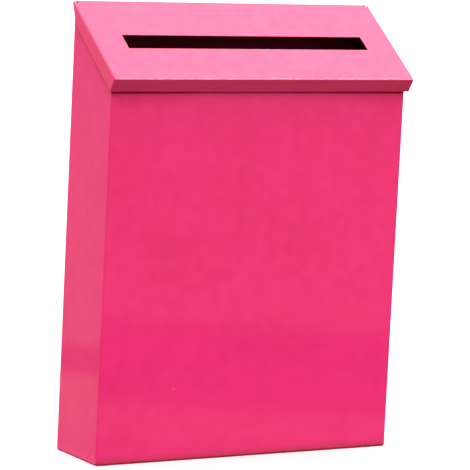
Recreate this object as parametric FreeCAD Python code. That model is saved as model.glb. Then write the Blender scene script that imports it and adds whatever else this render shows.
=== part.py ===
import FreeCAD, Part
import math
import os

# Wall mounted post box of folded sheet steel: a narrow body, and a sloping lid hinged on a rod at the wall.
# Millimetres. X is to the viewer's right, Y runs back to the wall, Z is up.
# The wall is the plane Y = 0, and the origin is the middle of the four wall-fixing holes on it.

# Body: front, sides and bottom folded from one sheet
body_width = 300.0
body_depth = 77.0            # front face to the wall
overall_height = 400.0       # underside to the crown of the lid's rolled edge
body_sheet = 1.0
body_bend = 1.0              # inside radius of every fold
rim_flange = 10.0            # turned in under the lid, along the front and the sides
return_flange = 12.0         # turned in behind, to carry the back panel
mitre_gap = 0.6              # open slit where two flanges meet at a corner
drain_hole_r = 2.5
drain_spacing = 200.0

# Hinge: the lid's rear edge is rolled round a rod that both side walls hold
rod_r = 1.25
rod_play = 0.05              # between the rod and the rolled edge, all round
wall_gap = 0.2               # between the rolled edge and the wall
ear_wall = 1.05              # metal left round the rod's hole in a side wall
ear_gap = 0.4                # between an ear and the lid, all round
roll_wrap = 290.0            # degrees that the lid's edge is rolled through
rod_head_r = 1.9
rod_head_height = 0.9
bay_depth = 14.0             # the body's flanges stop short of the hinge by this, from the wall
bay_height = 8.0             # and by this, down from the rod
ear_heel = 4.0               # straight rear edge of an ear, down from the rod

# Lid: a folded cover
slope = 35.8                 # degrees from level
lid_sheet = 0.8
lid_bend = 0.5               # inside radius of every fold
overhang = 10.2              # eave ahead of the front face
side_gap = 2.3               # between a side wall and the flange beside it
lid_gap = 0.3                # between the lid and the rim that it rests on
lip_length = 13.8
lip_turn = 87.0              # degrees that the lip is folded down from the lid's plane
flange_depth = 11.4          # at the flange's rear end, square to the lid
flange_setback = 17.0        # how far the slanted rear end runs forward along the lid
slot_length = 246.0
slot_height = 18.0
slot_from_eave = 40.6
slot_corner_r = 0.8

# Back panel: a flat sheet on the flanges behind
panel_sheet = 1.0
panel_inset = 2.5            # from the body's sides and underside
panel_corner_r = 3.0
panel_top_gap = 0.5          # under the rolled edge
fixing_r = 3.0
fixing_spacing_x = 200.0
fixing_low = 75.0            # lower pair, up from the underside
fixing_high = 25.0           # upper pair, down from the crown
weld_pitch = 60.0            # most that lies between two spot welds
weld_end_gap = 15.0          # from a row's last weld to the flange's end
weld_mark_r = 2.5
weld_mark_depth = 0.15

# Places that follow from the sizes
half_width = body_width / 2
fixing_spacing_z = overall_height - fixing_low - fixing_high
bottom_z = -(fixing_low + fixing_spacing_z / 2)
bend_out = body_bend + body_sheet
roll_in = rod_r + rod_play
roll_out = roll_in + lid_sheet
ear_r = rod_r + ear_wall
axis_y = -max(roll_out + wall_gap, ear_r)
axis_z = bottom_z + overall_height - roll_out
rim_above = roll_in - lid_gap
sin_s, cos_s = math.sin(math.radians(slope)), math.cos(math.radians(slope))
body_front = -body_depth
body_rear = -panel_sheet
beyond = 5.0                 # how far a cutting tool runs past what it cuts


def point(x, y, z):
    return FreeCAD.Vector(x, y, z)


def on_slope(along, above, x=0.0):
    """A point given by its distance up the slope from the rod's axis, and its height square to the slope."""
    return point(x, axis_y + along * cos_s - above * sin_s, axis_z + along * sin_s + above * cos_s)


def along_at(y, above):
    """How far up the slope a line at this height above the rod's axis crosses the upright plane at y."""
    return (y - axis_y + above * sin_s) / cos_s


def prism(corners, push):
    """The polygon through these corners, pushed along a vector."""
    return Part.Face(Part.makePolygon(corners + corners[:1])).extrude(push)


def block(x0, x1, y0, y1, z0, z1):
    return Part.makeBox(x1 - x0, y1 - y0, z1 - z0, point(x0, y0, z0))


def slope_block(x0, x1, along0, along1, above0, above1):
    """A block that lies square to the slope."""
    corners = [on_slope(along0, above0, x0), on_slope(along1, above0, x0),
               on_slope(along1, above1, x0), on_slope(along0, above1, x0)]
    return prism(corners, point(x1 - x0, 0, 0))


def rod_line(radius, x0, x1):
    """A cylinder on the hinge axis."""
    return Part.makeCylinder(radius, x1 - x0, point(x0, axis_y, axis_z), point(1, 0, 0))


def mirrored(shape):
    return shape.mirror(point(0, 0, 0), point(1, 0, 0))


def both_sides(shape):
    return [shape, mirrored(shape)]


def body_block(inset):
    """The body's closed outline, with every edge rounded as a fold, drawn in by inset all round."""
    front, rear = body_front + inset, body_rear - inset
    low, above, side = bottom_z + inset, rim_above - inset, half_width - inset
    corners = [point(-side, front, low), point(-side, rear, low),
               on_slope(along_at(rear, above), above, -side), on_slope(along_at(front, above), above, -side)]
    solid = prism(corners, point(2 * side, 0, 0))
    return solid.makeFillet(bend_out - inset, solid.Edges)


def mitre(inner, outer, push):
    """The open slit between two flanges, from their inner corner out along the diagonal."""
    along = (outer - inner).normalize()
    half = along.cross(push).normalize() * (mitre_gap / 2)
    start = inner - along * mitre_gap
    return prism([start + half, outer + half, outer - half, start - half], push)


def rim_mitre():
    """The slit between the front rim and the right-hand side rim."""
    front = along_at(body_front, rim_above)
    inner = on_slope(front + rim_flange, rim_above + body_sheet, half_width - rim_flange)
    outer = on_slope(front + bend_out, rim_above + body_sheet, half_width - bend_out)
    return mitre(inner, outer, on_slope(0, -3 * body_sheet) - on_slope(0, 0))


def return_mitre():
    """The slit between the bottom's and the right-hand side's flanges behind."""
    inner = point(half_width - return_flange, body_rear + body_sheet, bottom_z + return_flange)
    outer = point(half_width - bend_out, body_rear + body_sheet, bottom_z + bend_out)
    return mitre(inner, outer, point(0, -3 * body_sheet, 0))


def ear():
    """The right-hand side wall's flat top corner, which rises round the rod and holds it."""
    rim_meets = -math.sqrt(ear_r ** 2 - rim_above ** 2)
    low = axis_z - bay_height
    foot = point(half_width - body_sheet, -bay_depth, low)
    front = on_slope(along_at(-bay_depth, rim_above), rim_above, half_width - body_sheet)
    shoulder = on_slope(rim_meets, rim_above, half_width - body_sheet)
    crown = point(half_width - body_sheet, axis_y, axis_z + ear_r)
    rear = point(half_width - body_sheet, axis_y + ear_r, axis_z)
    heel = point(half_width - body_sheet, axis_y + ear_r, axis_z - ear_heel)
    bend_line = point(half_width - body_sheet, body_rear - bend_out, low)
    edges = [Part.makeLine(foot, front), Part.makeLine(front, shoulder),
             Part.Arc(shoulder, crown, rear).toShape(), Part.makeLine(rear, heel),
             Part.makeLine(heel, bend_line), Part.makeLine(bend_line, foot)]
    return Part.Face(Part.Wire(edges)).extrude(point(body_sheet, 0, 0))


def make_body_shell():
    shell = body_block(0).cut(body_block(body_sheet))
    back_opening = block(return_flange - half_width, half_width - return_flange,
                         body_rear - body_sheet - beyond, body_rear + beyond,
                         bottom_z + return_flange, bottom_z + overall_height)
    mouth_front = along_at(body_front, rim_above) + rim_flange
    mouth = slope_block(rim_flange - half_width, half_width - rim_flange, mouth_front, beyond,
                        rim_above - 2 * body_sheet, rim_above + beyond)
    hinge_bay = block(-half_width - beyond, half_width + beyond, -bay_depth, beyond,
                      axis_z - bay_height, axis_z + ear_r + beyond)
    shell = shell.cut([back_opening, mouth, hinge_bay] + both_sides(rim_mitre()) + both_sides(return_mitre()))
    shell = shell.fuse(both_sides(ear())).removeSplitter()
    drains = [Part.makeCylinder(drain_hole_r, 2 * body_sheet,
                                point(side * drain_spacing / 2, (body_front + body_rear) / 2,
                                      bottom_z - body_sheet / 2))
              for side in (-1, 1)]
    return shell.cut(drains + [rod_line(rod_r, -half_width - beyond, half_width + beyond)])


def evenly_spaced(start, end, pitch):
    """Places from start to end, as few as keep them no more than the pitch apart."""
    gaps = math.ceil((end - start) / pitch)
    return [start + (end - start) * n / gaps for n in range(gaps + 1)]


def weld_marks():
    """Cutting tools for the spot welds' round dimples, on the wall side along the middle of each flange."""
    ball_r = (weld_mark_r ** 2 + weld_mark_depth ** 2) / (2 * weld_mark_depth)
    lap_middle = (return_flange + panel_inset) / 2
    from_corner = return_flange + weld_end_gap
    upright = evenly_spaced(bottom_z + from_corner, axis_z - bay_height - weld_end_gap, weld_pitch)
    level = evenly_spaced(from_corner - half_width, half_width - from_corner, weld_pitch)
    places = [(side * (half_width - lap_middle), z) for side in (-1, 1) for z in upright]
    places += [(x, bottom_z + lap_middle) for x in level]
    return [Part.makeSphere(ball_r, point(x, ball_r - weld_mark_depth, z)) for x, z in places]


def make_back_panel():
    side, low = half_width - panel_inset, bottom_z + panel_inset
    panel = block(-side, side, -panel_sheet, 0, low, axis_z - roll_out - panel_top_gap)
    upright = [edge for edge in panel.Edges if abs(edge.tangentAt(0).y) > 0.9]
    panel = panel.makeFillet(panel_corner_r, upright)
    holes = [Part.makeCylinder(fixing_r, 3 * panel_sheet,
                               point(sx * fixing_spacing_x / 2, -2 * panel_sheet, sz * fixing_spacing_z / 2),
                               point(0, 1, 0))
             for sx in (-1, 1) for sz in (-1, 1)]
    return panel.cut(holes + weld_marks())


def corner_edges(solid, corner):
    """The edges that meet at the two ends of the eave, where the lid is folded."""
    ends = [corner, point(-corner.x, corner.y, corner.z)]
    return [edge for edge in solid.Edges
            if any(v.Point.isEqual(end, 0.001) for v in edge.Vertexes for end in ends)]


def lid_outer(side, eave):
    """The lid's outline as a block: top, lip and flanges to their cut edges, folds rounded."""
    turn = math.radians(lip_turn)
    lip_end = (eave - lip_length * math.cos(turn), roll_out - lip_length * math.sin(turn))
    lip_inside = (lip_end[0] + lid_sheet * math.sin(turn), lip_end[1] - lid_sheet * math.cos(turn))
    flange_end = (-flange_setback, roll_out - flange_depth)
    outline = [(eave, roll_out), lip_end, lip_inside, flange_end, (0, roll_in), (0, roll_out)]
    solid = prism([on_slope(a, h, -side) for a, h in outline], point(2 * side, 0, 0))
    return solid.makeFillet(lid_bend + lid_sheet, corner_edges(solid, on_slope(eave, roll_out, side)))


def lid_inner(side, eave):
    """The space under the lid, open below and behind, with the folds' inside radius."""
    turn = math.radians(lip_turn)
    inside = side - lid_sheet
    start = eave + lid_sheet * (1 - math.cos(turn)) / math.sin(turn)
    reach = lip_length + flange_depth + beyond
    outline = [(start, roll_in), (start - reach * math.cos(turn), roll_in - reach * math.sin(turn)),
               (beyond, roll_in - reach * math.sin(turn)), (beyond, roll_in)]
    solid = prism([on_slope(a, h, -inside) for a, h in outline], point(2 * inside, 0, 0))
    return solid.makeFillet(lid_bend, corner_edges(solid, on_slope(start, roll_in, inside)))


def rolled_edge(half_length):
    """The lid's rear edge, curled round the rod through roll_wrap degrees from the lid's own plane."""
    def at(radius, degrees):
        turn = math.radians(degrees)
        return on_slope(radius * math.sin(turn), radius * math.cos(turn), -half_length)
    middle = roll_wrap / 2
    edges = [Part.Arc(at(roll_out, 0), at(roll_out, middle), at(roll_out, roll_wrap)).toShape(),
             Part.makeLine(at(roll_out, roll_wrap), at(roll_in, roll_wrap)),
             Part.Arc(at(roll_in, roll_wrap), at(roll_in, middle), at(roll_in, 0)).toShape(),
             Part.makeLine(at(roll_in, 0), at(roll_out, 0))]
    return Part.Face(Part.Wire(edges)).extrude(point(2 * half_length, 0, 0))


def letter_slot(eave):
    start = eave + slot_from_eave
    slot = slope_block(-slot_length / 2, slot_length / 2, start, start + slot_height,
                       roll_in - lid_sheet, roll_out + lid_sheet)
    square_to_lid = on_slope(0, 1) - on_slope(0, 0)
    corners = [edge for edge in slot.Edges if abs(edge.tangentAt(0).dot(square_to_lid)) > 0.9]
    return slot.makeFillet(slot_corner_r, corners)


def make_lid():
    side = half_width + side_gap + lid_sheet
    eave = along_at(body_front - overhang, roll_out)
    roll_half = half_width - body_sheet - ear_gap
    notch_end = half_width + rod_head_height + ear_gap
    notch_depth = math.sqrt((ear_r + ear_gap) ** 2 - roll_in ** 2)
    notch = slope_block(roll_half, notch_end, -notch_depth, beyond, roll_in - lid_sheet, roll_out + lid_sheet)
    cover = lid_outer(side, eave).cut(lid_inner(side, eave))
    cover = cover.cut([letter_slot(eave)] + both_sides(notch))
    return cover.fuse(rolled_edge(roll_half)).removeSplitter()


def make_hinge_rod():
    rod = rod_line(rod_r, -half_width, half_width)
    foot, rim = point(half_width, axis_y, axis_z), point(half_width, axis_y, axis_z + rod_head_r)
    tip = point(half_width + rod_head_height, axis_y, axis_z)
    dome_r = (rod_head_r ** 2 + rod_head_height ** 2) / (2 * rod_head_height)
    halfway = math.atan(rod_head_height / rod_head_r)
    shoulder = point(tip.x - dome_r * (1 - math.cos(halfway)), axis_y, axis_z + dome_r * math.sin(halfway))
    edges = [Part.makeLine(foot, rim), Part.Arc(rim, shoulder, tip).toShape(), Part.makeLine(tip, foot)]
    head = Part.Face(Part.Wire(edges)).revolve(foot, point(1, 0, 0), 360)
    return rod.fuse(both_sides(head)).removeSplitter()


os.makedirs("parts", exist_ok=True)
for node, shape in {
    "body_shell": make_body_shell(),
    "back_panel": make_back_panel(),
    "lid": make_lid(),
    "hinge_rod": make_hinge_rod(),
}.items():
    solid = shape.Solids[0] if len(shape.Solids) == 1 else shape
    solid.exportStep("parts/" + node + ".step")
    print(node, "solids", len(shape.Solids), "valid", shape.isValid(), "volume", round(shape.Volume, 1))
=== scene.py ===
import math

import bpy
from mathutils import Matrix, Vector
from mathutils.bvhtree import BVHTree


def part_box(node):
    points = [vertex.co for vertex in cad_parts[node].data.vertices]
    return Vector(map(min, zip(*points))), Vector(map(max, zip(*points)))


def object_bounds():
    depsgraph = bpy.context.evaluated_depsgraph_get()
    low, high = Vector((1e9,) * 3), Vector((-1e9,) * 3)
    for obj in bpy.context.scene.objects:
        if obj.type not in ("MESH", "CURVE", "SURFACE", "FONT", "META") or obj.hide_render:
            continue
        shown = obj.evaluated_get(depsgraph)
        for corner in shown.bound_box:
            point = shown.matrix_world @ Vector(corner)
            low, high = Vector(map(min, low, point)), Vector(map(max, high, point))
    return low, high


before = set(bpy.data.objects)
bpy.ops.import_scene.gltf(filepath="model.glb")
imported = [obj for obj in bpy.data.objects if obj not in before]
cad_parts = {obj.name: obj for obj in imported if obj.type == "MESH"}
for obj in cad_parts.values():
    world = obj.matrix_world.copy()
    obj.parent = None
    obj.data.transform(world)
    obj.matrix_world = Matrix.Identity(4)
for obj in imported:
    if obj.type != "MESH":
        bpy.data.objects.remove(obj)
cad_low, cad_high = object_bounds()

# The body shell: front, sides and bottom folded from one blank of 1 mm steel, with a rim at the mouth and
# flanges behind. Its powder coat is glossy pink with a faint orange peel and a little cloudy. It is painted
# darker in recesses and towards the top and the very bottom of the front, as painted shade, and lighter
# lower on the front, as painted light; its edges and folds take a pink painted for the light on them, a
# painted highlight runs along the bottom of each side, and two nibs carry painted glints. Inside it is
# dark, with painted shade in its corners.

mm = 0.001
body_sheet = 1.0 * mm
noise_span = (0.30, 0.70)
coat_pink = (0.818, 0.0106, 0.172)
coat_pink_thick = (0.757, 0.0090, 0.156)
coat_pink_painted_edge = (0.910, 0.0330, 0.205)
coat_pink_painted_shade = (0.330, 0.0010, 0.016)
coat_gloss = 0.5
coat_gloss_drift = 0.065
coat_roughness = (0.022, 0.045)
coat_film = 0.25 * mm
film_rays = 6
edge_turn = (0.99, 0.80)
inside_deep = (0.132, 0.0035, 0.022)
inside_thin = (0.205, 0.0075, 0.036)
inside_painted_shade = (0.070, 0.0020, 0.012)
inside_gloss = 0.14
inside_roughness = (0.55, 0.70)
cloud_size = 55 * mm
haze_size = cloud_size / 3
mottle_size = 11 * mm
mottle_strength = 0.55
painted_shade_above = -0.25
painted_light_below = 0.24
painted_light_split = 28 * mm
peel_size = 2.2 * mm
peel_depth = 0.0045 * mm
grain_size = 0.45 * mm
grain_depth = 0.0004 * mm
recess_reach = 9 * mm
recess_rays = 8
recess_closed_in = (0.97, 0.62)
recess_dulling = 3.0
recess_ends = (55 * mm, 130 * mm)
recess_reach_at_ends = 16 * mm
recess_gain_at_ends = 2.6
painted_fold_shade = (0.400, 0.0120, 0.022)
fold_height = 10.5 * mm
fold_falloff = 2.0
fold_on_front = 1.1
fold_on_side = 1.0
nib_glint_pink = (0.980, 0.0550, 0.240)
nibs = (
    (Vector((-75.8, -77.0, -160.1)) * mm, 1.7 * mm),
    (Vector((-150.0, -70.2, -217.5)) * mm, 2.8 * mm),
)
step_inside = 0.01 * mm
sheet_reach = 1.2


def lay_node(tree, kind, inputs=None, **settings):
    """A shader node with its settings, and its sockets filled by values or by other nodes' outputs."""
    node = tree.nodes.new(kind)
    for name, value in settings.items():
        setattr(node, name, value)
    for name, value in (inputs or {}).items():
        if isinstance(value, bpy.types.NodeSocket):
            tree.links.new(value, node.inputs[name])
        else:
            node.inputs[name].default_value = value
    return node


def noise(tree, place, feature_size, detail=2.0):
    """Soft random spots of about one size, most of them within the noise span."""
    return lay_node(tree, "ShaderNodeTexNoise",
                    {"Vector": place, "Scale": 1 / feature_size, "Detail": detail}).outputs["Fac"]


def maths(tree, operation, *values, **settings):
    return lay_node(tree, "ShaderNodeMath", dict(enumerate(values)), operation=operation,
                    **settings).outputs["Value"]


def spread(tree, value, start, end, onto=(0.0, 1.0)):
    """Carries a value from one span on to another, and holds it at the ends."""
    return lay_node(tree, "ShaderNodeMapRange",
                    {"Value": value, "From Min": start, "From Max": end,
                     "To Min": onto[0], "To Max": onto[1]}).outputs["Result"]


def ramp(tree, factor, *stops):
    """A colour ramp through (position, colour) stops."""
    node = lay_node(tree, "ShaderNodeValToRGB", {"Fac": factor})
    elements = node.color_ramp.elements
    while len(elements) < len(stops):
        elements.new(0.5)
    for element, (position, colour) in zip(elements, stops):
        element.position = position
        element.color = (*colour, 1.0)
    return node.outputs["Color"]


def blended(tree, share, tint, other):
    """A tint that gives way to another colour by a share."""
    return lay_node(tree, "ShaderNodeMixRGB",
                    {"Fac": share, "Color1": tint, "Color2": (*other, 1.0)}).outputs["Color"]


def bumped(tree, height, depth, normal=None):
    """A surface pushed in and out by a height, on top of another bump or rounding."""
    node = lay_node(tree, "ShaderNodeBump", {"Height": height, "Distance": depth, "Strength": 1.0})
    if normal is not None:
        tree.links.new(normal, node.inputs["Normal"])
    return node.outputs["Normal"]


def painted_recess_shade(tree, reach):
    """How much painted shade a spot takes: 0 on an open face, up to 1 deep in a recess or an inner corner."""
    around = lay_node(tree, "ShaderNodeAmbientOcclusion", {"Distance": reach}, samples=recess_rays)
    return spread(tree, around.outputs["AO"], *recess_closed_in)


def new_finish(name):
    """An empty material, its node tree, and the place on the piece that its noises follow."""
    material = bpy.data.materials.new(name)
    material.use_nodes = True
    tree = material.node_tree
    tree.nodes.clear()
    return material, tree, lay_node(tree, "ShaderNodeTexCoord").outputs["Object"]


def close_finish(tree, tint, roughness, normal, **rest):
    """The shader that a finish ends in."""
    sockets = {"Base Color": tint, "Roughness": roughness, "Normal": normal}
    for name, value in rest.items():
        sockets[name.replace("_", " ")] = value
    shader = lay_node(tree, "ShaderNodeBsdfPrincipled", sockets)
    lay_node(tree, "ShaderNodeOutputMaterial", {"Surface": shader.outputs["BSDF"]})


def powder_coat(name, thick, full, painted_edge):
    """The glossy outer film, in its pinks where it lies thick and full, with a pink painted along its edges
    and folds.
    """
    material, tree, place = new_finish(name)
    across, _, height = lay_node(tree, "ShaderNodeSeparateXYZ", {"Vector": place}).outputs
    surface = lay_node(tree, "ShaderNodeNewGeometry").outputs["True Normal"]
    facing = lay_node(tree, "ShaderNodeSeparateXYZ", {"Vector": surface}).outputs
    sideways = maths(tree, "ABSOLUTE", facing["X"])
    forwards = maths(tree, "ABSOLUTE", facing["Y"])

    # Painted shade darkens forward and back faces towards the top; painted light makes them paler lower down.
    above = spread(tree, height, painted_light_split, cad_high.z, (0.0, painted_shade_above))
    below = spread(tree, height, painted_light_split, cad_low.z, (0.0, painted_light_below))
    painted_tone = maths(tree, "MULTIPLY", maths(tree, "ADD", above, below), forwards)
    clouds = maths(tree, "ADD", noise(tree, place, cloud_size, detail=3.0), painted_tone)
    mottle = noise(tree, place, mottle_size)
    cloudy = maths(tree, "MULTIPLY_ADD", mottle, mottle_strength, clouds)
    mottle_middle = mottle_strength / 2
    tint = ramp(tree, cloudy, (noise_span[0] + mottle_middle, thick), (noise_span[1] + mottle_middle, full))

    low = maths(tree, "POWER", spread(tree, height, cad_low.z + fold_height, cad_low.z), fold_falloff)
    highlight_low_on_side = maths(tree, "MULTIPLY", low, sideways)
    low_on_front = maths(tree, "MULTIPLY", low, forwards)
    # The bottom band of each side takes the edge pink: a painted highlight along the bottom fold.
    tint = blended(tree, maths(tree, "MULTIPLY", highlight_low_on_side, fold_on_side), tint, painted_edge)
    # The bottom band of the front is painted darker: a painted shade of the bottom fold.
    shaded = maths(tree, "MULTIPLY", low_on_front, fold_on_front, use_clamp=True)
    tint = blended(tree, shaded, tint, painted_fold_shade)
    # Two nibs in the film are painted as pale spots: painted glints.
    for nib, reach in nibs:
        away = lay_node(tree, "ShaderNodeVectorMath", {0: place, 1: nib}, operation="DISTANCE")
        tint = blended(tree, spread(tree, away.outputs["Value"], reach, 0.0), tint, nib_glint_pink)

    # Recesses, and the front under the lip towards its ends, are painted darker and their gloss dulled:
    # painted shade.
    aside = maths(tree, "MULTIPLY", maths(tree, "ABSOLUTE", across), forwards)
    hidden = painted_recess_shade(tree, spread(tree, aside, *recess_ends, (recess_reach, recess_reach_at_ends)))
    gain = spread(tree, aside, *recess_ends, (1.0, recess_gain_at_ends))
    painted_shade_share = maths(tree, "MULTIPLY", hidden, gain, use_clamp=True)
    tint = blended(tree, painted_shade_share, tint, coat_pink_painted_shade)
    # Cut edges and tight folds take the edge pink: painted light and shade for how light falls on them.
    rounded = lay_node(tree, "ShaderNodeBevel", {"Radius": coat_film}, samples=film_rays).outputs["Normal"]
    flatness = lay_node(tree, "ShaderNodeVectorMath", {0: rounded, 1: surface}, operation="DOT_PRODUCT")
    tint = blended(tree, spread(tree, flatness.outputs["Value"], *edge_turn), tint, painted_edge)

    haze = noise(tree, place, haze_size, detail=4.0)
    roughness = spread(tree, haze, *noise_span, coat_roughness)
    gloss = spread(tree, mottle, *noise_span, (coat_gloss - coat_gloss_drift, coat_gloss + coat_gloss_drift))
    # The gloss is dulled where the painted shade lies.
    clear_of_painted_shade = maths(tree, "SUBTRACT", 1.0, painted_shade_share)
    shine = maths(tree, "MULTIPLY", gloss, maths(tree, "POWER", clear_of_painted_shade, recess_dulling))
    peeled = bumped(tree, noise(tree, place, peel_size, detail=1.0), peel_depth, rounded)
    grained = bumped(tree, noise(tree, place, grain_size, detail=1.0), grain_depth, peeled)
    close_finish(tree, tint, roughness, grained, Specular_IOR_Level=shine)
    return material


def dark_inside_coat(name):
    """The dark film inside, a little cloudy, with painted shade in its corners."""
    material, tree, place = new_finish(name)
    clouds = noise(tree, place, cloud_size, detail=3.0)
    tint = ramp(tree, clouds, (noise_span[0], inside_deep), (noise_span[1], inside_thin))
    # Corners inside are painted darker: painted shade.
    tint = blended(tree, painted_recess_shade(tree, recess_reach), tint, inside_painted_shade)
    grained = bumped(tree, noise(tree, place, grain_size, detail=1.0), grain_depth)
    roughness = spread(tree, clouds, *noise_span, inside_roughness)
    close_finish(tree, tint, roughness, grained, Specular_IOR_Level=inside_gloss)
    return material


def middle_of(node):
    low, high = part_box(node)
    return (Vector(low) + Vector(high)) / 2


def finish_with(node, outside, inside=None, sheet=0.0, hollow=None):
    """Gives a piece its finish, and another to faces of its sheet that look towards the hollow's middle."""
    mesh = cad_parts[node].data
    mesh.materials.clear()
    mesh.materials.append(outside)
    if inside is None:
        return
    mesh.materials.append(inside)
    tree = BVHTree.FromPolygons([v.co for v in mesh.vertices], [f.vertices for f in mesh.polygons])
    for face in mesh.polygons:
        start = face.center - face.normal * step_inside
        behind = tree.ray_cast(start, -face.normal, sheet_reach * sheet)[3]
        looks_in = face.normal.dot(face.center - hollow) < 0
        face.material_index = int(looks_in and behind is not None)


body_coat = powder_coat("pink_powder_coat", coat_pink_thick, coat_pink, coat_pink_painted_edge)
inner_coat = dark_inside_coat("dark_coat_inside")
finish_with("body_shell", body_coat, inner_coat, body_sheet, middle_of("body_shell"))

# The back panel: a flat 1 mm sheet, spot welded to the flanges before the box is coated, with four plain
# holes for the wall screws. Its welds show as shallow dimples under the film.

panel_sheet = 1.0 * mm

finish_with("back_panel", body_coat, inner_coat, panel_sheet, middle_of("body_shell"))

# The lid: one folded 0.8 mm cover with a lip in front, a flange down each side and the letter slot cut in its
# slope. Its rear edge is rolled round the hinge rod. It is coated apart from the body, a shade warmer.

lid_sheet = 0.8 * mm
lid_pink = (0.805, 0.0295, 0.158)
lid_pink_thick = (0.755, 0.0250, 0.144)
lid_pink_painted_edge = (0.830, 0.0180, 0.150)

lid_coat = powder_coat("pink_powder_coat_lid", lid_pink_thick, lid_pink, lid_pink_painted_edge)
finish_with("lid", lid_coat, inner_coat, lid_sheet, middle_of("lid"))

# The hinge rod: 2.5 mm drawn steel wire, zinc plated, pushed through the rolled edge and both ears, with its
# two ends peened over into low domes.

zinc_light = (0.68, 0.68, 0.665)
zinc_dull = (0.50, 0.50, 0.49)
zinc_roughness = (0.42, 0.26)
zinc_span = (0.30, 0.75)
drawn_out = (0.05, 1.0, 1.0)
drawing_mark = 0.3 * mm
drawing_mark_depth = 0.01 * mm


def bright_zinc(name):
    """Satin zinc with fine marks that run along the rod."""
    material, tree, place = new_finish(name)
    along_rod = lay_node(tree, "ShaderNodeMapping", {"Vector": place, "Scale": drawn_out}).outputs["Vector"]
    marks = noise(tree, along_rod, drawing_mark, detail=3.0)
    tint = ramp(tree, marks, (zinc_span[0], zinc_dull), (zinc_span[1], zinc_light))
    close_finish(tree, tint, spread(tree, marks, 0.0, 1.0, zinc_roughness),
                 bumped(tree, marks, drawing_mark_depth), Metallic=1.0)
    return material


finish_with("hinge_rod", bright_zinc("zinc_plated_steel"))

# The floor that the box stands on for its picture: plain, matt and almost white. It throws no light up on the
# box and isn't mirrored in it.

floor_half = 16.0
floor_grey = (0.78, 0.78, 0.78)
floor_roughness = 0.9
floor_gloss = 0.2


def make_floor():
    mesh = bpy.data.meshes.new("floor")
    corners = [(-floor_half, -floor_half, 0), (floor_half, -floor_half, 0),
               (floor_half, floor_half, 0), (-floor_half, floor_half, 0)]
    mesh.from_pydata(corners, [], [(0, 1, 2, 3)])
    floor = bpy.data.objects.new("floor", mesh)
    bpy.context.scene.collection.objects.link(floor)
    floor.location.z = cad_low.z
    material = bpy.data.materials.new("pale_floor")
    material.use_nodes = True
    paint = material.node_tree.nodes["Principled BSDF"]
    paint.inputs["Base Color"].default_value = (*floor_grey, 1.0)
    paint.inputs["Roughness"].default_value = floor_roughness
    paint.inputs["Specular IOR Level"].default_value = floor_gloss
    mesh.materials.append(material)
    floor.visible_diffuse = False
    floor.visible_glossy = False
    floor.visible_shadow = False
    return floor


make_floor()

# The studio light: a soft pale room, brightest high up and dim low down, with a dark rail under the horizon
# and a dark screen behind on the right. A cool softbox above whitens the sloping lid, a wide dim one in front
# fills the shade, and a bright one high up is only mirrored, as the line along the eave.

box_middle = (cad_low + cad_high) / 2
room_bands = (
    (-1.00, (0.04, 0.04, 0.03)),
    (-0.94, (0.04, 0.04, 0.03)),
    (-0.90, (0.22, 0.28, 0.14)),
    (-0.75, (0.22, 0.28, 0.14)),
    (-0.70, (0.03, 0.03, 0.02)),
    (-0.50, (0.02, 0.02, 0.02)),
    (-0.30, (0.50, 0.50, 0.38)),
    (-0.215, (0.66, 0.52, 0.42)),
    (-0.200, (0.76, 0.67, 0.50)),
    (-0.180, (0.82, 0.73, 0.54)),
    (-0.150, (0.77, 0.66, 0.53)),
    (-0.10, (0.79, 0.66, 0.55)),
    (0.12, (0.32, 0.28, 0.30)),
    (0.40, (2.20, 2.05, 2.25)),
    (0.70, (2.50, 2.05, 2.20)),
    (1.00, (3.20, 2.90, 2.35)),
)
brightest = 4.0
screen_from = (0.87, 0.49, 0)
screen_edge = (0.58, 0.72)
screen_level = 0.05
rail_height = -0.1753
rail_reach = (0.0048, 0.0135)
rail_softness = 0.0015
rail_level = 0.57
top_from = Vector((0.505, 0.142, 0.851))
top_size = 1.1
top_distance = 2.0
top_radiance = 1.05
top_tint = (0.45, 0.92, 1.27)
fill_from = Vector((0.50, -0.86, -0.13))
fill_size = 2.6
fill_distance = 2.4
fill_radiance = 0.12
eave_from = Vector((0.504, -0.56, 0.66))
eave_size = 1.5
eave_distance = 2.2
eave_radiance = 9.5


def light_room():
    """The room: bands of brightness by height, with the rail and the screen darkening them."""
    world = bpy.data.worlds.new("studio")
    bpy.context.scene.world = world
    world.use_nodes = True
    tree = world.node_tree
    tree.nodes.clear()
    direction = lay_node(tree, "ShaderNodeTexCoord").outputs["Generated"]
    height = lay_node(tree, "ShaderNodeSeparateXYZ", {"Vector": direction}).outputs["Z"]
    bands = [((z + 1) / 2, [part / brightest for part in colour]) for z, colour in room_bands]
    room = ramp(tree, spread(tree, height, -1.0, 1.0), *bands)
    towards_screen = lay_node(tree, "ShaderNodeVectorMath", {0: direction, 1: screen_from},
                              operation="DOT_PRODUCT").outputs["Value"]
    level = spread(tree, towards_screen, *screen_edge, (brightest, brightest * screen_level))
    towards_front = lay_node(tree, "ShaderNodeVectorMath", {0: direction, 1: fill_from.normalized()},
                             operation="DOT_PRODUCT").outputs["Value"]
    from_rail = maths(tree, "ABSOLUTE", maths(tree, "SUBTRACT", height, rail_height))
    past_rail = maths(tree, "SUBTRACT", from_rail, spread(tree, towards_front, -1.0, 1.0, rail_reach))
    rail = spread(tree, past_rail, -rail_softness, rail_softness, (rail_level, 1.0))
    strength = maths(tree, "MULTIPLY", level, rail)
    light = lay_node(tree, "ShaderNodeBackground", {"Color": room, "Strength": strength})
    lay_node(tree, "ShaderNodeOutputWorld", {"Surface": light.outputs["Background"]})


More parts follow.
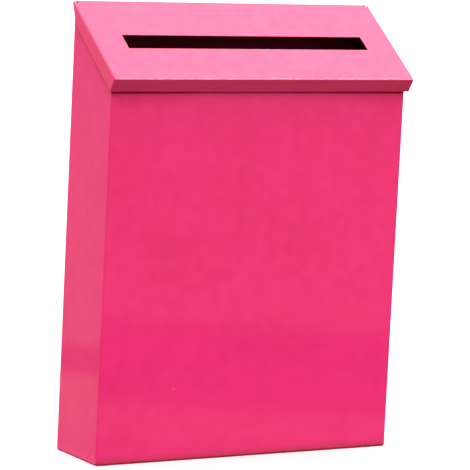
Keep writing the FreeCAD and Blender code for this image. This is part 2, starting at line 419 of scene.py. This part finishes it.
def add_softbox(name, direction, distance, size, radiance):
    """A square soft light that faces the middle of the object."""
    lamp = bpy.data.lights.new(name, "AREA")
    lamp.shape = "SQUARE"
    lamp.size = size
    lamp.energy = radiance * math.pi * size * size
    softbox = bpy.data.objects.new(name, lamp)
    bpy.context.scene.collection.objects.link(softbox)
    softbox.location = box_middle + direction.normalized() * distance
    softbox.rotation_euler = direction.to_track_quat("Z", "Y").to_euler()
    softbox.visible_camera = False
    return softbox


light_room()
top_light = add_softbox("top_light", top_from, top_distance, top_size, top_radiance)
top_light.data.color = top_tint
add_softbox("front_fill", fill_from, fill_distance, fill_size, fill_radiance)
eave_light = add_softbox("eave_light", eave_from, eave_distance, eave_size, eave_radiance)
eave_light.visible_diffuse = False
bpy.context.scene.view_settings.view_transform = "Standard"

# The camera: it stands at the front left, a little above the lid, well back with a long lens, and leans
# slightly to one side, as the upright edges of the box do in its picture.

view_yaw = math.radians(30.59)
view_pitch = math.radians(7.60)
view_roll = math.radians(2.83)
view_distance = 2708 * mm
picture_width = 470
focal_pixels = 3003
sensor_width = 36
view_end = 100
aim = Vector((0, -27 * mm, -45 * mm))
aim_right = 8.15 * mm
aim_up = 12.75 * mm


def make_camera():
    forward = Vector((math.cos(view_pitch) * math.sin(view_yaw), math.cos(view_pitch) * math.cos(view_yaw),
                      -math.sin(view_pitch)))
    level_right = Vector((math.cos(view_yaw), -math.sin(view_yaw), 0))
    level_up = level_right.cross(forward)
    right = level_right * math.cos(view_roll) + level_up * math.sin(view_roll)
    up = level_up * math.cos(view_roll) - level_right * math.sin(view_roll)
    lens = bpy.data.cameras.new("camera")
    lens.sensor_width = sensor_width
    lens.lens = focal_pixels * sensor_width / picture_width
    lens.clip_end = view_end
    camera = bpy.data.objects.new("camera", lens)
    bpy.context.scene.collection.objects.link(camera)
    place = aim + right * aim_right + up * aim_up - forward * view_distance
    camera.matrix_world = Matrix.Translation(place) @ Matrix((right, up, -forward)).transposed().to_4x4()
    bpy.context.scene.camera = camera


make_camera()
